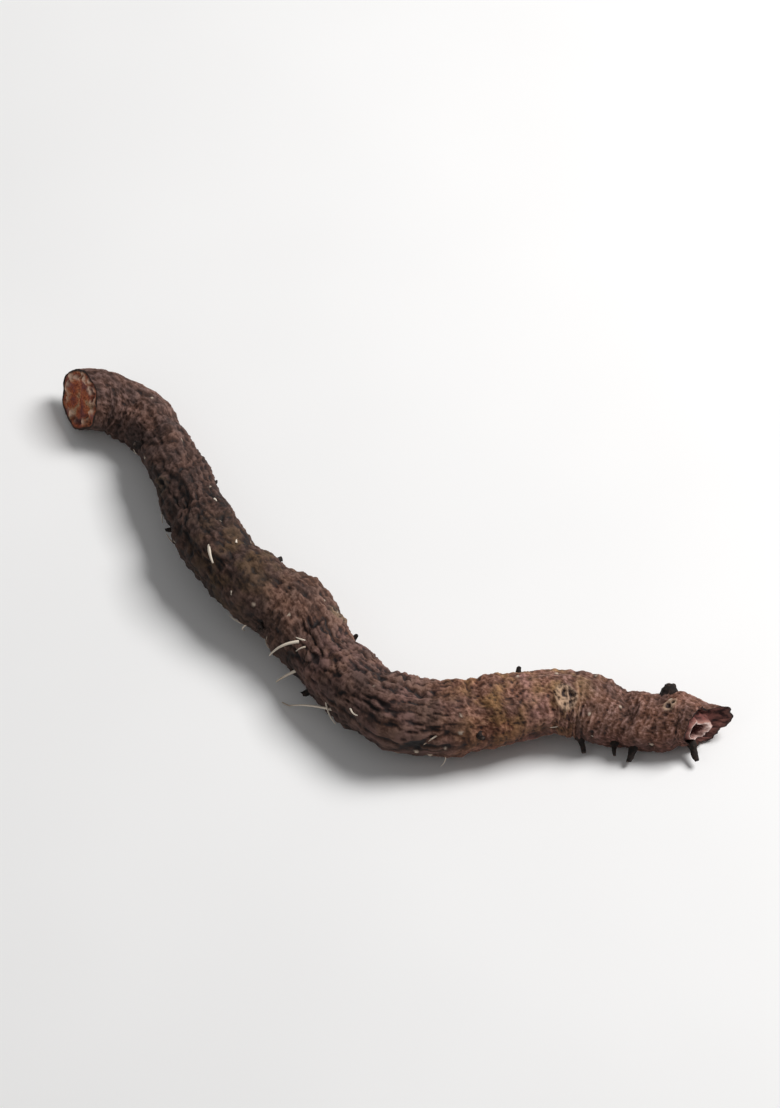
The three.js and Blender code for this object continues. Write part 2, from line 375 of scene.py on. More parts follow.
weighted_face = [(TIP_SHARE_WEIGHT * share, depth) for share, depth in TIP_FACE]
tip_share, tip_depth = eased_list(weighted_face, TIP_ROWS)
tip_share = tip_share / TIP_SHARE_WEIGHT
row_share = np.concatenate((np.linspace(0, 0.985, CUT_ROWS), np.ones(BARK_ROWS), tip_share))
row_along = np.concatenate((
    np.zeros(CUT_ROWS), np.linspace(0.02, LENGTH - 0.05, BARK_ROWS), LENGTH - tip_depth,
))
row_kind = np.repeat([1, 0, 2], [CUT_ROWS, BARK_ROWS, TIP_ROWS])
blank = turned(list(zip(row_share, range(len(row_share)))), SIDES)

along, angle = np.meshgrid(row_along, 2 * np.pi * np.arange(SIDES) / SIDES, indexing="ij")
share = np.broadcast_to(row_share[:, None], along.shape)
kind = np.broadcast_to(row_kind[:, None], along.shape)
on_bark = (kind == 0).astype(float)
on_cut = (kind == 1).astype(float)
on_tip = (kind == 2).astype(float)
girth = value_along(GIRTH, along)
fade = smooth(along, 0, RING_END_FADE) * (1 - smooth(along, LENGTH - RING_END_FADE, LENGTH))
wandered = along + on_bark * fade * wave_sum(RING_WANDER, along, angle)
bark_place = np.stack(
    (wandered, share * girth * np.cos(angle), share * girth * np.sin(angle)), axis=-1,
)

# The net, the wrinkles and the rings of the bark, as heights over the stem's form
drift = np.stack([grain(bark_place, DRIFT_SIZE, shift) for shift in DRIFT_SHIFTS], axis=-1)
drifted = bark_place + DRIFT_REACH * drift
drawn_out = 1 - smooth(along + DRAWN_OUT_WANDER * grain(bark_place, 7.0, 2.2), *DRAWN_OUT_TO)
round_net = net(drifted, ROUND_CELL, COARSE_RIDGE)
long_net = net(drifted, LONG_CELL, COARSE_RIDGE)
coarse_net = long_net * drawn_out + round_net * (1 - drawn_out)
fine_net = net(drifted + 40, FINE_CELL, FINE_RIDGE)
long_wrinkles = 1 - 2 * np.abs(grain(drifted, WRINKLE_SIZE, 23.1))
lumps = grain(bark_place, LUMP_SIZE, 31.7)
grit = grain(bark_place, GRIT_SIZE, 47.9)
at_bend = smooth(along, *BEND_START) * (1 - smooth(along, *BEND_END))
wrinkle_height = WRINKLE_HEIGHT + WRINKLE_HEIGHT_DRAWN * drawn_out + WRINKLE_HEIGHT_BEND * at_bend
rings = -np.sin(2 * np.pi * (along + 0.35 * lumps) / RING_PITCH) / 2
bark_grain = rings * (RING_HEIGHT + wave_sum(RING_FADING, along, angle)) * fade
ribs = np.sin(2 * np.pi * (wandered + 0.15 * lumps) / RIB_PITCH)
ribs *= 0.6 + 0.8 * grain(bark_place, 3.0, 5.5)
ribs *= smooth(along, *RIB_START) * (1 - smooth(along, *RIB_END))
bark_grain += RIB_HEIGHT * ribs + wrinkle_height * long_wrinkles
bark_grain += (COARSE_HEIGHT + COARSE_HEIGHT_DRAWN * drawn_out) * (coarse_net - 0.45)
bark_grain += (FINE_HEIGHT + FINE_HEIGHT_DRAWN * drawn_out) * (fine_net - 0.5)
bark_grain += LUMP_HEIGHT * lumps + GRIT_HEIGHT * grit
cleft_lines = bell(grain(drifted, CLEFT_SIZE, 63.0) / CLEFT_WIDTH)
clefts = np.zeros(along.shape)
for start, end, most in CLEFTS:
    opened = smooth(along, start, start + CLEFT_FADE) * (1 - smooth(along, end - CLEFT_FADE, end))
    clefts += most * opened * cleft_lines
bark_grain -= CLEFT_DEPTH * clefts
bark_grain *= 0.5 + 0.5 * smooth(along, 0, 3)

# How high a point stands in the bark about it, from 0 in a pit to 1 on a ridge, and how dark its tone and
# painted shade make it
crest = 0.18 + (0.26 + 0.1 * drawn_out) * coarse_net + (0.34 - 0.1 * drawn_out) * fine_net
crest += 0.12 * rings + 0.16 * ribs + 0.24 * grit + 3.4 * wrinkle_height * long_wrinkles
crest -= 0.6 * clefts
crest = 0.5 + (crest - 0.5) * (1 - 0.15 * smooth(along, 104, 112))
# Painted shade on the flank of the upper stretch that faces away from the light
from_flank = wrapped(angle - FLANK_ANGLE)
painted_shade_flank = drawn_out * (1 - smooth(from_flank, -1.4, 0.3)) * smooth(from_flank, -2.6, -1.6)
# Painted shade on the lower side of the right stretch, a little redder than grey
painted_underside_shade = smooth(np.sin(UNDERSIDE_ANGLE - angle), 0.35, 0.9) * (1 - drawn_out)
bark_tone_and_shade = np.stack([
    value_along([(at, shade[i]) for at, shade in BARK_TONE_AND_SHADE], along) for i in range(3)
], axis=-1)
bark_tone_and_shade *= 1 - FLANK_PAINTED_SHADE * painted_shade_flank[..., None]
bark_tone_and_shade *= 1 - painted_underside_shade[..., None] * np.array(UNDERSIDE_PAINTED_SHADE)

# Scars of thick roots, pits of thin ones, crumbs of soil and tinted stretches
scar_net = net(drifted + 15, SCAR_CELL, SCAR_RIDGE)
scar_mask = np.zeros(along.shape)
for at, degrees, radius, tube in RING_SCARS:
    reach = away(wandered, angle, girth, at, degrees) + 0.45 * tube * (lumps + drift[..., 0])
    bark_grain += 0.5 * tube * bell((reach - radius) / (0.8 * tube)) * (0.6 + 0.6 * coarse_net)
    inside = 1 - smooth(reach, 0.7 * radius, radius + 0.2 * tube)
    bark_grain -= SCAR_PIT * inside * (1 - scar_net)
    crest += inside * (0.75 * scar_net - 0.45)
    scar_mask = np.maximum(scar_mask, 1 - smooth(reach, radius, radius + 1.2 * tube))
marks = np.random.default_rng(MARK_SEED)
dark_pits = np.zeros(along.shape)
for _ in range(ROOT_PITS):
    at = marks.uniform(MARK_END_CLEAR, LENGTH - ROOT_PIT_TIP_CLEAR)
    degrees = marks.choice(ROOT_PIT_ROWS) + marks.normal(0, ROOT_PIT_SPREAD)
    radius = marks.uniform(*ROOT_PIT_RADIUS)
    reach = away(wandered, angle, girth, at, degrees) + 0.5 * radius * drift[..., 1]
    bark_grain -= PIT_DEPTH * radius * bell(reach / radius)
    dark_pits = np.maximum(dark_pits, bell(reach / radius))
pale_crumbs = np.zeros(along.shape)
crumb_spots = list(LARGE_CRUMBS)
for _ in range(CRUMBS):
    crumb_spots.append((
        marks.uniform(MARK_END_CLEAR, LENGTH - MARK_END_CLEAR),
        marks.uniform(-180, 180),
        marks.uniform(*CRUMB_RADIUS),
    ))
for at, degrees, radius in crumb_spots:
    reach = away(wandered, angle, girth, at, degrees) + 0.6 * radius * drift[..., 2]
    bark_grain += CRUMB_HEIGHT * radius * bell(reach / radius)
    pale_crumbs = np.maximum(pale_crumbs, 1 - smooth(reach, 0.6 * radius, 1.2 * radius))
yellow = sum(bell((along - at) / width) for at, width in YELLOW_ZONES)
yellow *= smooth(grain(bark_place, 2.2, 9.4) + 0.4 * grit, -0.3, 0.5)
pink = sum(bell((along - at) / width) for at, width in PINK_ZONES)
pink *= smooth(grain(bark_place, 2.0, 19.4) + 0.4 * grit, -0.3, 0.5)

# Bundles and gaps on the sawn face, and splinters on the broken one
bundles = np.zeros(along.shape)
gaps = np.zeros(along.shape)
for i in range(BUNDLES + BUNDLE_GAPS):
    turn = marks.uniform(0, 2 * np.pi)
    from_middle = (BUNDLE_RING + BUNDLE_SPREAD * marks.normal()) * girth[0, 0]
    radius = marks.uniform(*BUNDLE_RADIUS)
    far = np.hypot(
        bark_place[..., 1] - from_middle * np.cos(turn), bark_place[..., 2] - from_middle * np.sin(turn),
    )
    spots = bundles if i < BUNDLES else gaps
    np.maximum(spots, on_cut * bell((far + 0.4 * radius * drift[..., 0]) / radius), out=spots)
face_share, face_depth = np.array(CUT_FACE, float).T
cut_depth = np.interp(share, face_share, face_depth)
cut_depth += BUNDLE_GAP_DEPTH * gaps - BUNDLE_PROUD * bundles
cut_depth += SAWN_ROUGHNESS * grain(bark_place, 1.3, 3.3)
cut_depth += SAWN_GRAIN * grain(bark_place, (9, 0.45, 0.45), 8.1)
scar_mask = np.maximum(scar_mask * on_bark, bundles * (1 - gaps))
dark_pits = np.maximum(dark_pits * on_bark, gaps)
rim_splinters = grain(bark_place, (30, 0.55, 0.55), 71.0)

# Every point's place: its radius, then its distance along the stem, slanted at both ends
spread = share * (stem_radius(along, angle) + on_bark * bark_grain)
spread += on_tip * share * TIP_ROUGHNESS * grain(bark_place, 0.8, 61.0)
aside = on_tip * HOLLOW_OFFSET * (1 - share)
across = spread * np.cos(angle) + aside * math.cos(HOLLOW_FACING)
up = spread * np.sin(angle) + aside * math.sin(HOLLOW_FACING)
from_centre = np.hypot(across, up)
turned_to = np.arctan2(up, across)
at_cut = 1 - smooth(along, 0, CUT_REACH)
at_tip = smooth(along, LENGTH - TIP_REACH, LENGTH - TIP_RIM)
at_rim = share * smooth(along, LENGTH - TIP_RIM, LENGTH)
far_side = (1 - np.cos(angle - TIP_FACING)) / 2
placed = wandered + on_cut * cut_depth
placed += at_cut * CUT_SLANT * from_centre * np.cos(turned_to - CUT_FACING)
placed -= at_tip * TIP_SLANT * from_centre * np.cos(turned_to - TIP_FACING)
placed += at_rim * far_side * wave_sum(TIP_TEETH, along, angle)
placed += at_rim * SPLINTER_LENGTH * rim_splinters
placed -= at_rim * TIP_NOTCH * bell(wrapped(angle - TIP_NOTCH_ANGLE) / TIP_NOTCH_WIDTH)
dish = smooth(share, *LOBE_DISH_INSIDE) * (1 - smooth(share, *LOBE_DISH_OUTSIDE))
placed -= on_tip * far_side * LOBE_DISH * dish
points = stem_points(placed, turned_to, from_centre)
points[..., 2] = np.maximum(points[..., 2], 0)

for face in blank.faces:
    face_row = face.calc_center_median().z
    face.material_index = 1 if face_row < CUT_ROWS else 2 if face_row > CUT_ROWS + BARK_ROWS - 1 else 0
stem_mesh = bpy.data.meshes.new("rhizome_skin")
blank.to_mesh(stem_mesh)
blank.free()
turned_at = np.empty(3 * len(stem_mesh.vertices), np.float32)
stem_mesh.vertices.foreach_get("co", turned_at)
turned_at = turned_at.reshape(-1, 3)
row = np.rint(turned_at[:, 2]).astype(int)
turns = -np.arctan2(turned_at[:, 1], turned_at[:, 0]) / (2 * np.pi)
side = np.rint(turns * SIDES).astype(int) % SIDES
stem_mesh.vertices.foreach_set("co", (MM * points[row, side]).astype(np.float32).ravel())
stem_mesh.update()
store(stem_mesh, "bark_place", bark_place[row, side])
store(stem_mesh, "crest", np.clip(crest, 0, 1)[row, side])
store(stem_mesh, "scar", scar_mask[row, side])
store(stem_mesh, "pit", dark_pits[row, side])
store(stem_mesh, "crumb", pale_crumbs[row, side])
store(stem_mesh, "tone", bark_tone_and_shade[row, side])
store(stem_mesh, "yellow", np.clip(yellow, 0, 1)[row, side])
store(stem_mesh, "pink", np.clip(pink, 0, 1)[row, side])
store(stem_mesh, "share", share[row, side])
stem = bpy.data.objects.new("rhizome_stem", stem_mesh)
bpy.context.scene.collection.objects.link(stem)


def linear(code):
    """A colour of the shaders from an sRGB hex code."""
    parts = [int(code[i:i + 2], 16) / 255 for i in (1, 3, 5)]
    return [p / 12.92 if p <= 0.04045 else ((p + 0.055) / 1.055) ** 2.4 for p in parts] + [1]


def add(tree, kind, inputs=(), stops=(), **settings):
    """Adds a node with its settings, colour stops and inputs, and links the inputs that are sockets."""
    node = tree.nodes.new(kind)
    for name, value in settings.items():
        setattr(node, name, value)
    for i, (place, code) in enumerate(stops):
        elements = node.color_ramp.elements
        stop = elements[i] if i < 2 else elements.new(place)
        stop.position = place
        stop.color = linear(code)
    for name, value in dict(inputs).items():
        if isinstance(value, bpy.types.NodeSocket):
            tree.links.new(value, node.inputs[name])
        else:
            node.inputs[name].default_value = value
    return node


# Cork bark of a dried rhizome: dull brown, dark in its pits and dusty on its ridges, with yellowish
# and pinkish stretches, and yellowish crusts on the scars.
bark = bpy.data.materials.new("dried_cork_bark")
bark.use_nodes = True
tree = bark.node_tree
shader = tree.nodes["Principled BSDF"]
shader.inputs["IOR"].default_value = 1.45
place = add(tree, "ShaderNodeAttribute", attribute_name="bark_place").outputs["Vector"]
height = add(tree, "ShaderNodeAttribute", attribute_name="crest").outputs["Fac"]
dust = add(tree, "ShaderNodeTexNoise", {"Vector": place, "Scale": 1 / 0.24, "Detail": 4.0})
blotch = add(tree, "ShaderNodeTexNoise", {"Vector": place, "Scale": 1 / 3.0, "Detail": 4.0})
speck = add(tree, "ShaderNodeMath", {0: dust.outputs[0], 1: 0.6, 2: -0.3}, operation="MULTIPLY_ADD")
lift = add(tree, "ShaderNodeMath", {0: height, 1: speck.outputs[0]}, operation="ADD")
brown = add(tree, "ShaderNodeValToRGB", {"Fac": lift.outputs[0]}, stops=[
    (0.1, "#1f0c09"), (0.95, "#b69b8c"), (0.3, "#41261b"), (0.5, "#62432f"), (0.72, "#876a5c"),
])
tint = add(tree, "ShaderNodeValToRGB", {"Fac": blotch.outputs[0]}, stops=[
    (0.36, "#c2b4b0"), (0.66, "#ffe6d4"), (0.5, "#ebd9cf"),
])
colour = add(tree, "ShaderNodeMix", {0: 1.0, 6: brown.outputs[0], 7: tint.outputs[0]},
             data_type="RGBA", blend_type="MULTIPLY").outputs[2]
for name, most, dark, pale in (
    ("yellow", 0.6, "#3b2813", "#a5824e"),
    ("pink", 0.55, "#3a1916", "#b58a80"),
    ("scar", 0.75, "#241109", "#bd9f7e"),
    ("pit", 0.8, "#140c0a", "#2a1a14"),
):
    mask = add(tree, "ShaderNodeAttribute", attribute_name=name)
    amount = add(tree, "ShaderNodeMath", {0: mask.outputs["Fac"], 1: most}, operation="MULTIPLY")
    shades = add(tree, "ShaderNodeValToRGB", {"Fac": lift.outputs[0]}, stops=[(0.2, dark), (0.8, pale)])
    colour = add(tree, "ShaderNodeMix", {0: amount.outputs[0], 6: colour, 7: shades.outputs[0]},
                 data_type="RGBA").outputs[2]
# The bark's tone along the stem, with painted shade over the upper stretch and the bend, on a flank of the
# upper stretch and on the lower side of the right stretch
tone_with_shade = add(tree, "ShaderNodeAttribute", attribute_name="tone").outputs["Vector"]
colour = add(tree, "ShaderNodeVectorMath", {0: colour, 1: tone_with_shade}, operation="MULTIPLY").outputs[0]
crumb = add(tree, "ShaderNodeAttribute", attribute_name="crumb").outputs["Fac"]
colour = add(tree, "ShaderNodeMix", {0: crumb, 6: colour, 7: linear("#b9a795")},
             data_type="RGBA").outputs[2]
tree.links.new(colour, shader.inputs["Base Color"])
rough = add(tree, "ShaderNodeMapRange", {"Value": lift.outputs[0], "To Min": 0.7, "To Max": 0.92})
tree.links.new(rough.outputs[0], shader.inputs["Roughness"])
bump = add(tree, "ShaderNodeBump", {"Strength": 0.6, "Distance": 0.15 * MM, "Height": dust.outputs[0]})
tree.links.new(bump.outputs[0], shader.inputs["Normal"])

# Flesh of a dried rhizome, sawn across: blotches of rust, tan and dull purple, a loose ring of cream
# bundles with dark gaps between them, and the dark line of the bark.
flesh = bpy.data.materials.new("sawn_rhizome_flesh")
flesh.use_nodes = True
tree = flesh.node_tree
shader = tree.nodes["Principled BSDF"]
shader.inputs["IOR"].default_value = 1.45
shader.inputs["Roughness"].default_value = 0.85
from_heart = add(tree, "ShaderNodeAttribute", attribute_name="share").outputs["Fac"]
place = add(tree, "ShaderNodeAttribute", attribute_name="bark_place").outputs["Vector"]
blotch = add(tree, "ShaderNodeTexNoise", {"Vector": place, "Scale": 1 / 1.7, "Detail": 3.0})
fibre = add(tree, "ShaderNodeTexNoise", {"Vector": place, "Scale": 1 / 0.25, "Detail": 3.0})
colour = add(tree, "ShaderNodeValToRGB", {"Fac": blotch.outputs[0]}, stops=[
    (0.36, "#94504a"), (0.66, "#c9a27c"), (0.45, "#c0623a"), (0.56, "#cf7a4a"),
]).outputs[0]
mottle = add(tree, "ShaderNodeValToRGB", {"Fac": fibre.outputs[0]}, stops=[
    (0.3, "#86685a"), (0.7, "#ffffff"),
])
colour = add(tree, "ShaderNodeMix", {0: 1.0, 6: colour, 7: mottle.outputs[0]},
             data_type="RGBA", blend_type="MULTIPLY").outputs[2]
for name, most, code in (("scar", 0.85, "#f3d2b8"), ("pit", 0.85, "#2b120c")):
    mask = add(tree, "ShaderNodeAttribute", attribute_name=name)
    amount = add(tree, "ShaderNodeMath", {0: mask.outputs["Fac"], 1: most}, operation="MULTIPLY")
    colour = add(tree, "ShaderNodeMix", {0: amount.outputs[0], 6: colour, 7: linear(code)},
                 data_type="RGBA").outputs[2]
wobble = add(tree, "ShaderNodeMath", {0: blotch.outputs[0], 1: 0.1, 2: -0.05}, operation="MULTIPLY_ADD")
out = add(tree, "ShaderNodeMath", {0: from_heart, 1: wobble.outputs[0]}, operation="ADD")
edge = add(tree, "ShaderNodeMapRange", {"Value": out.outputs[0], "From Min": 0.9, "From Max": 0.97})
colour = add(tree, "ShaderNodeMix", {0: edge.outputs[0], 6: colour, 7: linear("#2c1c15")},
             data_type="RGBA").outputs[2]
tree.links.new(colour, shader.inputs["Base Color"])
bump = add(tree, "ShaderNodeBump", {"Strength": 0.7, "Distance": 0.15 * MM, "Height": fibre.outputs[0]})
tree.links.new(bump.outputs[0], shader.inputs["Normal"])

# Broken end of a dried rhizome: splintery red-brown cortex, a pale pinkish wall of wood fibres and a
# dark hollow.
snapped = bpy.data.materials.new("snapped_rhizome_wood")
snapped.use_nodes = True
tree = snapped.node_tree
shader = tree.nodes["Principled BSDF"]
shader.inputs["IOR"].default_value = 1.45
shader.inputs["Roughness"].default_value = 0.88
from_heart = add(tree, "ShaderNodeAttribute", attribute_name="share").outputs["Fac"]
place = add(tree, "ShaderNodeAttribute", attribute_name="bark_place").outputs["Vector"]
splinters = add(tree, "ShaderNodeTexNoise", {"Vector": place, "Scale": 1 / 0.4, "Detail": 4.0})
wobble = add(tree, "ShaderNodeMath", {0: splinters.outputs[0], 1: 0.14, 2: -0.07}, operation="MULTIPLY_ADD")
out = add(tree, "ShaderNodeMath", {0: from_heart, 1: wobble.outputs[0]}, operation="ADD")
wall = add(tree, "ShaderNodeValToRGB", {"Fac": out.outputs[0]}, stops=[
    (0.0, "#260d0a"), (1.0, "#1c0f0b"), (0.34, "#451c18"), (0.38, "#a57f76"), (0.43, "#dcc4bc"),
    (0.48, "#a3766b"), (0.53, "#7d4c46"), (0.75, "#6c3f39"), (0.9, "#83574f"),
])
mottle = add(tree, "ShaderNodeValToRGB", {"Fac": splinters.outputs[0]}, stops=[
    (0.36, "#583432"), (0.6, "#fff6f3"),
])
cortex = add(tree, "ShaderNodeMapRange", {"Value": out.outputs[0], "From Min": 0.46, "From Max": 0.56})
colour = add(tree, "ShaderNodeMix", {0: cortex.outputs[0], 6: wall.outputs[0], 7: mottle.outputs[0]},
             data_type="RGBA", blend_type="MULTIPLY").outputs[2]
tree.links.new(colour, shader.inputs["Base Color"])
bump = add(tree, "ShaderNodeBump", {"Strength": 0.7, "Distance": 0.2 * MM, "Height": splinters.outputs[0]})
tree.links.new(bump.outputs[0], shader.inputs["Normal"])

for finish in (bark, flesh, snapped):
    stem_mesh.materials.append(finish)
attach(stem, "root")
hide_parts("bistort_root")

# The stubs of rootlets
# Each is the woody foot of a rootlet that snapped off close to the stem, flared where it grows out of
# the bark and hollow where it broke. The longest stand in a row under the tip's end of the stem, and
# the thickest is worn round.
STUB_SINK = 1.3
STUB_SIDES = 18
# Distance along, degrees round, radius, length and lean towards the tip
STUBS = [
    (108.0, -26, 0.5, 2.4, 2.4), (114.0, -22, 0.4, 1.4, 0.3), (116.2, -24, 0.6, 2.6, 0),
    (124.9, -36, 0.5, 2.1, 1.4), (121.0, 140, 1.2, 1.7, 0),
]
LOOSE_STUBS = 10
LOOSE_FROM = 14
LOOSE_TO = 104
LOOSE_FLANKS = [(-30, 35), (158, 208)]
LOOSE_RADIUS = (0.4, 0.7)
LOOSE_LENGTH = (0.7, 1.4)
LOOSE_LEAN = (-1, 1)
# Shares of a stub's radius and height, from the middle of its foot to the middle of its end
STUB_PROFILE = [
    (0, 0), (1.3, 0), (1.5, 0.3), (1.35, 0.4), (1.1, 0.48), (0.95, 0.56), (0.88, 0.65), (0.84, 0.74),
    (0.8, 0.83), (0.76, 0.92), (0.68, 1.0), (0.52, 0.99), (0.42, 0.9), (0.2, 0.82), (0, 0.8),
]
WORN_PROFILE = [
    (0, 0), (1.25, 0), (1.4, 0.3), (1.22, 0.42), (1.08, 0.52), (0.97, 0.62), (0.9, 0.72), (0.82, 0.82),
    (0.7, 0.91), (0.54, 0.97), (0.42, 0.98), (0.32, 0.93), (0.18, 0.88), (0, 0.87),
]
WORN_FROM = 1.0
STUB_HOOK = 0.9
STUB_HOOK_SEED = 5
STUB_HOOK_RADIUS = 0.5
STUB_RAGGED_RADIUS = 0.6
STUB_UNEVEN = 0.3
STUB_RAGGED_END = 0.45
PITH_FROM = 0.75
PITH_RADIUS = 0.5

stubs = list(STUBS)
spacing = (LOOSE_TO - LOOSE_FROM) / LOOSE_STUBS
for i in range(LOOSE_STUBS):
    stubs.append((
        LOOSE_FROM + spacing * (i + draw(0, 1)), draw(*LOOSE_FLANKS[i % 2]), draw(*LOOSE_RADIUS),
        draw(*LOOSE_LENGTH), draw(*LOOSE_LEAN),
    ))
stub_mesh = bpy.data.meshes.new("rootlet_stubs")
all_stubs = bmesh.new()
hooks = np.random.default_rng(STUB_HOOK_SEED)
for at, degrees, radius, length, lean in stubs:
    turn = math.radians(degrees)
    skin = float(stem_radius(np.array(at), np.array(turn)))
    foot = Vector(stem_points(np.array(at), turn, skin - STUB_SINK))
    outer = Vector(stem_points(np.array(at + lean), turn, skin + 1))
    tall = length + STUB_SINK
    profile = WORN_PROFILE if radius > WORN_FROM else STUB_PROFILE
    stub = turned([(radius * wide, tall * high) for wide, high in profile], STUB_SIDES)
    sway = hooks.uniform(0, 2 * math.pi)
    hook = Vector((math.cos(sway), math.sin(sway), 0)) * STUB_HOOK * min(STUB_HOOK_RADIUS, radius)
    for face in stub.faces:
        centre = face.calc_center_median()
        in_core = centre.z > PITH_FROM * tall and centre.xy.length < PITH_RADIUS * radius
        face.material_index = int(in_core)
    for vert in stub.verts:
        ragged = noise.noise(vert.co * 1.9 + foot) * min(radius, STUB_RAGGED_RADIUS)
        knotted = noise.noise(vert.co * 0.8 + foot) * radius
        bent = max(0, vert.co.z - STUB_SINK) / length
        outwards = Vector((vert.co.x, vert.co.y, 0)) / radius
        upwards = Vector((0, 0, STUB_RAGGED_END * ragged * bent))
        vert.co += outwards * STUB_UNEVEN * (ragged + knotted) + hook * bent**2 + upwards
    aim = Vector((0, 0, 1)).rotation_difference(outer - foot).to_matrix().to_4x4()
    placing = Matrix.Scale(MM, 4) @ Matrix.Translation(foot) @ aim
    bmesh.ops.transform(stub, matrix=placing, verts=stub.verts)
    stub.to_mesh(stub_mesh)
    stub.free()
    all_stubs.from_mesh(stub_mesh)
all_stubs.to_mesh(stub_mesh)
all_stubs.free()

# Bark of the rootlets: darker than the stem's, nearly black in patches, with grey-brown crumbs of soil.
rootlet_bark = bpy.data.materials.new("dried_rootlet_bark")
rootlet_bark.use_nodes = True
tree = rootlet_bark.node_tree
shader = tree.nodes["Principled BSDF"]
shader.inputs["IOR"].default_value = 1.45
shader.inputs["Roughness"].default_value = 0.86
place = add(tree, "ShaderNodeTexCoord").outputs["Object"]
soil = add(tree, "ShaderNodeTexNoise", {"Vector": place, "Scale": 1 / (0.45 * MM), "Detail": 4.0})
crust = add(tree, "ShaderNodeValToRGB", {"Fac": soil.outputs[0]}, stops=[
    (0.3, "#0c0706"), (0.85, "#54403a"), (0.5, "#1b110d"), (0.64, "#2e1f19"),
])
tree.links.new(crust.outputs[0], shader.inputs["Base Color"])
bump = add(tree, "ShaderNodeBump", {"Strength": 0.6, "Distance": 0.15 * MM, "Height": soil.outputs[0]})
tree.links.new(bump.outputs[0], shader.inputs["Normal"])

# Core of a rootlet where it broke: a dusty grey-brown pith, darker in its pores.
pith = bpy.data.materials.new("dried_rootlet_pith")
pith.use_nodes = True
tree = pith.node_tree
shader = tree.nodes["Principled BSDF"]
shader.inputs["IOR"].default_value = 1.45
shader.inputs["Roughness"].default_value = 0.9
place = add(tree, "ShaderNodeTexCoord").outputs["Object"]
pores = add(tree, "ShaderNodeTexNoise", {"Vector": place, "Scale": 1 / (0.3 * MM), "Detail": 3.0})
core = add(tree, "ShaderNodeValToRGB", {"Fac": pores.outputs[0]}, stops=[
    (0.35, "#2a1c16"), (0.7, "#85746a"),
])
tree.links.new(core.outputs[0], shader.inputs["Base Color"])

for finish in (rootlet_bark, pith):
    stub_mesh.materials.append(finish)
stub_piece = bpy.data.objects.new("rootlet_stubs", stub_mesh)
bpy.context.scene.collection.objects.link(stub_piece)
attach(stub_piece, "root")

# The fibres
# Thin dry rootlets still hang on the stem, mostly along the flank that lay lowest in the ground. They
# are pale where their skin has rubbed off, curl as they dry, and lie close to the bark or on the table.
FIBRE_STEPS = 12
FIBRE_SINK = 0.25
# Distance along, degrees round, lean ahead, length, radius, rise off the bark and curl
STRANDS = [
    (42.4, 62, 0.6, 2.9, 0.3, 0.3, 0.3), (49.5, 32, 0.3, 1.2, 0.24, 0.25, 0.25),
    (33.8, 120, 0.8, 1.1, 0.22, 0.25, 0.25), (44.5, 100, -0.5, 1.0, 0.2, 0.25, 0.25),
    (63.8, 46, -0.3, 5.2, 0.27, 0.5, 0.15), (64.4, 58, -0.6, 1.8, 0.18, 0.5, 0.2),
    (65.0, 50, -0.2, 1.6, 0.16, 0.6, 0.2), (65.2, -10, -0.5, 4.4, 0.27, 1.2, 0.1),
    (73.6, -6, -3.6, 10.5, 0.2, 1.0, 0.02), (52.5, -12, -0.6, 3.5, 0.16, 0.9, 0.9),
    (72.0, 2, 1.1, 4.0, 0.16, 0.9, 0.9), (76.5, 28, 0.9, 3.2, 0.16, 0.6, 0.6),
    (87.0, 24, -1.2, 4.0, 0.15, 0.6, 0.6),
]
FIBRES = 30
FIBRE_SEED = 29
FIBRE_FROM = 14
FIBRE_TIP_CLEAR = 10
FIBRE_FLANK = (-60, 20)
FIBRE_FLANK_SHARE = 0.7
FIBRE_FAR_SIDE = (150, 240)
FIBRE_AHEAD = (0.6, 1.8)
FIBRE_LENGTH = (1.6, 4.2)
FIBRE_RADIUS = (0.07, 0.14)
FIBRE_RISE = 0.9
FIBRE_CURL = 0.9
FIBRE_CURL_SPREAD = 0.13
FIBRE_CURL_IN = 0.18
FIBRE_HANG = 0.5
FIBRE_SAG = 0.05
FIBRE_TAPER = 0.6

fibre_draws = np.random.default_rng(FIBRE_SEED)
fibres = list(STRANDS)
fibre_span = LENGTH - FIBRE_FROM - FIBRE_TIP_CLEAR
for i in range(FIBRES):
    at = FIBRE_FROM + fibre_span * (i + fibre_draws.uniform()) / FIBRES
    flank = FIBRE_FLANK if fibre_draws.uniform() < FIBRE_FLANK_SHARE else FIBRE_FAR_SIDE
    degrees = fibre_draws.uniform(*flank)
    ahead = float(fibre_draws.choice((-1, 1)) * fibre_draws.uniform(*FIBRE_AHEAD))
    length = fibre_draws.uniform(*FIBRE_LENGTH)
    thick = fibre_draws.uniform(*FIBRE_RADIUS)
    fibres.append((at, degrees, ahead, length, thick, FIBRE_RISE, FIBRE_CURL))
fibre_curve = bpy.data.curves.new("rootlet_fibres", "CURVE")
fibre_curve.dimensions = "3D"
fibre_curve.bevel_depth = MM
fibre_curve.bevel_resolution = 1
fibre_curve.use_fill_caps = True
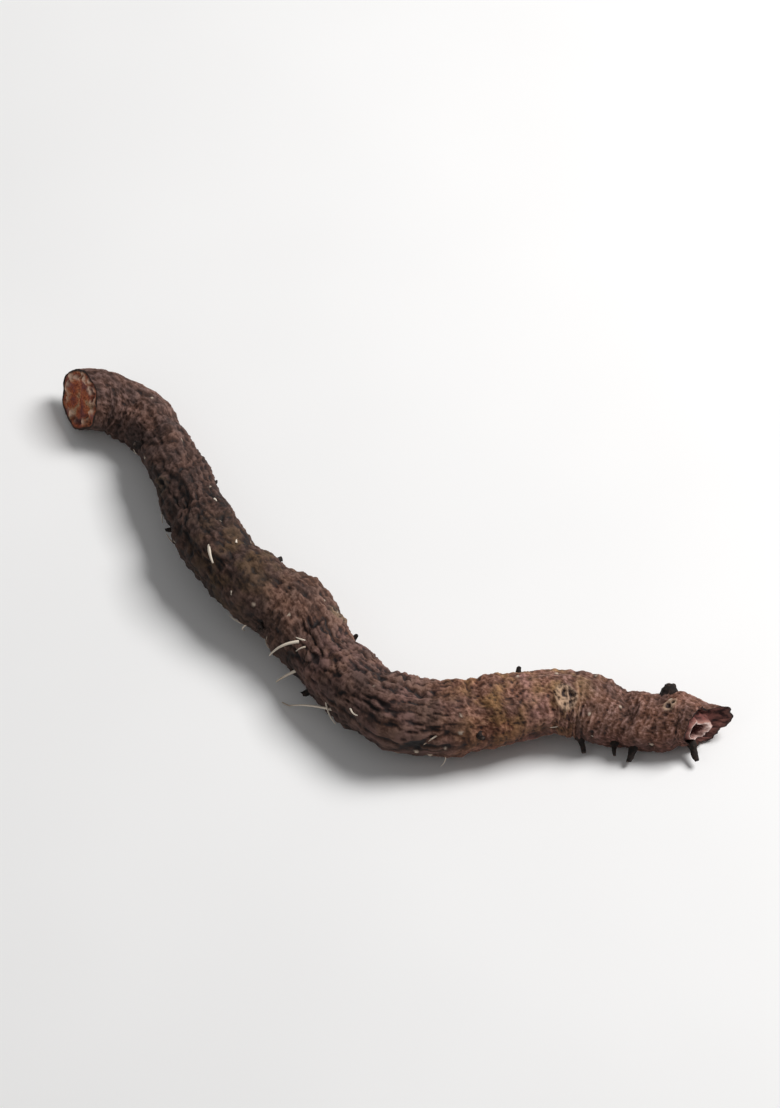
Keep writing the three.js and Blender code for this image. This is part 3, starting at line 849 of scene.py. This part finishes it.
for at, degrees, ahead, length, thick, rise, curled in fibres:
    turn = math.radians(degrees)
    skin = float(stem_radius(np.array(at), np.array(turn)))
    foot = Vector(stem_points(np.array(at), turn, skin - FIBRE_SINK * rise))
    on_skin = Vector(stem_points(np.array(at), turn, skin))
    further = Vector(stem_points(np.array(at + 0.5), turn, skin))
    outward = (Vector(stem_points(np.array(at), turn, skin + 1)) - foot).normalized()
    onward = (further - on_skin).normalized()
    downward = outward.cross(onward)
    downward *= -1 if downward.z > 0 else 1
    way = rise * outward + FIBRE_HANG * downward + ahead * onward
    curl = curled * (Vector(fibre_draws.normal(0, FIBRE_CURL_SPREAD, 3)) - FIBRE_CURL_IN * outward)
    spline = fibre_curve.splines.new("POLY")
    spline.points.add(FIBRE_STEPS)
    tip = foot
    for step, point in enumerate(spline.points):
        point.co = (*(tip * MM), 1)
        point.radius = thick * (1 - FIBRE_TAPER * step / FIBRE_STEPS)
        way = (way.normalized() + curl + Vector((0, 0, -FIBRE_SAG))).normalized()
        tip = tip + way * (length / FIBRE_STEPS)
        tip.z = max(tip.z, thick)
curve_piece = bpy.data.objects.new("rootlet_fibres", fibre_curve)
fibre_mesh = bpy.data.meshes.new_from_object(curve_piece)
fibre_mesh.name = "rootlet_fibres"
bpy.data.objects.remove(curve_piece)
bpy.data.curves.remove(fibre_curve)

# Dry rootlet fibre: straw grey with a pinkish cast, browner along some stretches.
straw = bpy.data.materials.new("dry_rootlet_fibre")
straw.use_nodes = True
tree = straw.node_tree
shader = tree.nodes["Principled BSDF"]
shader.inputs["IOR"].default_value = 1.5
shader.inputs["Roughness"].default_value = 0.7
place = add(tree, "ShaderNodeTexCoord").outputs["Object"]
stretch = add(tree, "ShaderNodeTexNoise", {"Vector": place, "Scale": 1 / (5 * MM), "Detail": 3.0})
rubbed = add(tree, "ShaderNodeValToRGB", {"Fac": stretch.outputs[0]}, stops=[
    (0.26, "#6b5142"), (0.48, "#e4d6c4"), (0.34, "#b9a28c"),
])
tree.links.new(rubbed.outputs[0], shader.inputs["Base Color"])

fibre_mesh.materials.append(straw)
fibre_piece = bpy.data.objects.new("rootlet_fibres", fibre_mesh)
bpy.context.scene.collection.objects.link(fibre_piece)
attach(fibre_piece, "root")

# The table and the light
# A matt white sheet under the root, lit by a large soft box above and a little to the right, with a
# weaker one from the left front and the even light of a white room.
FLOOR_SIDE = 3.0
sheet_mesh = bpy.data.meshes.new("paper_sheet")
sheet = bmesh.new()
bmesh.ops.create_grid(sheet, x_segments=1, y_segments=1, size=FLOOR_SIDE / 2)
sheet.to_mesh(sheet_mesh)
sheet.free()

# Matt white paper: nearly even, with faint clouds a few centimetres wide.
paper = bpy.data.materials.new("matt_white_paper")
paper.use_nodes = True
tree = paper.node_tree
shader = tree.nodes["Principled BSDF"]
shader.inputs["Roughness"].default_value = 0.9
clouds = add(tree, "ShaderNodeTexNoise", {
    "Vector": add(tree, "ShaderNodeTexCoord").outputs["Object"], "Scale": 1 / 0.06, "Detail": 2.0,
})
white = add(tree, "ShaderNodeValToRGB", {"Fac": clouds.outputs[0]}, stops=[
    (0.3, "#f4f3f2"), (0.7, "#f8f7f6"),
])
tree.links.new(white.outputs[0], shader.inputs["Base Color"])
sheet_mesh.materials.append(paper)
floor = bpy.data.objects.new("paper_sheet", sheet_mesh)
bpy.context.scene.collection.objects.link(floor)

# Each lamp's name, place and side in metres, and its watts
middle = (cad_low + cad_high) / 2
for name, spot, wide, watts in (
    ("soft_box_above", (0.38, 0.16, 0.5), 0.3, 4.4),
    ("soft_box_left", (-0.5, -0.4, 0.5), 0.5, 0.3),
):
    lamp = bpy.data.lights.new(name, "AREA")
    lamp.size = wide
    lamp.energy = watts
    box = bpy.data.objects.new(name, lamp)
    box.location = spot
    box.rotation_euler = (middle - Vector(spot)).to_track_quat("-Z", "Y").to_euler()
    bpy.context.scene.collection.objects.link(box)
room = bpy.data.worlds.new("white_room")
room.use_nodes = True
walls = room.node_tree.nodes["Background"]
walls.inputs["Color"].default_value = linear("#f4f5f6")
walls.inputs["Strength"].default_value = 0.22
bpy.context.scene.world = room
bpy.context.scene.view_settings.view_transform = "Standard"

# The camera
# It looks along +Y and down on the root, so that the bend shows as it does in the photograph, and it
# stands back far enough for the root to fill most of the frame's width.
CAMERA_ELEVATION = math.radians(50)
CAMERA_LENS = 200
FRAME_SIZE = (780, 1108)
FRAME_FILL = 0.86
lens = bpy.data.cameras.new("camera")
lens.lens = CAMERA_LENS
half_width = lens.sensor_width / 2 / CAMERA_LENS * FRAME_SIZE[0] / FRAME_SIZE[1]
back = Vector((0, -math.cos(CAMERA_ELEVATION), math.sin(CAMERA_ELEVATION)))
camera = bpy.data.objects.new("camera", lens)
half_length = (cad_high.x - cad_low.x) / 2
camera.location = middle + back * (half_length / FRAME_FILL / half_width)
camera.rotation_euler = (-back).to_track_quat("-Z", "Y").to_euler()
bpy.context.scene.collection.objects.link(camera)
bpy.context.scene.camera = camera
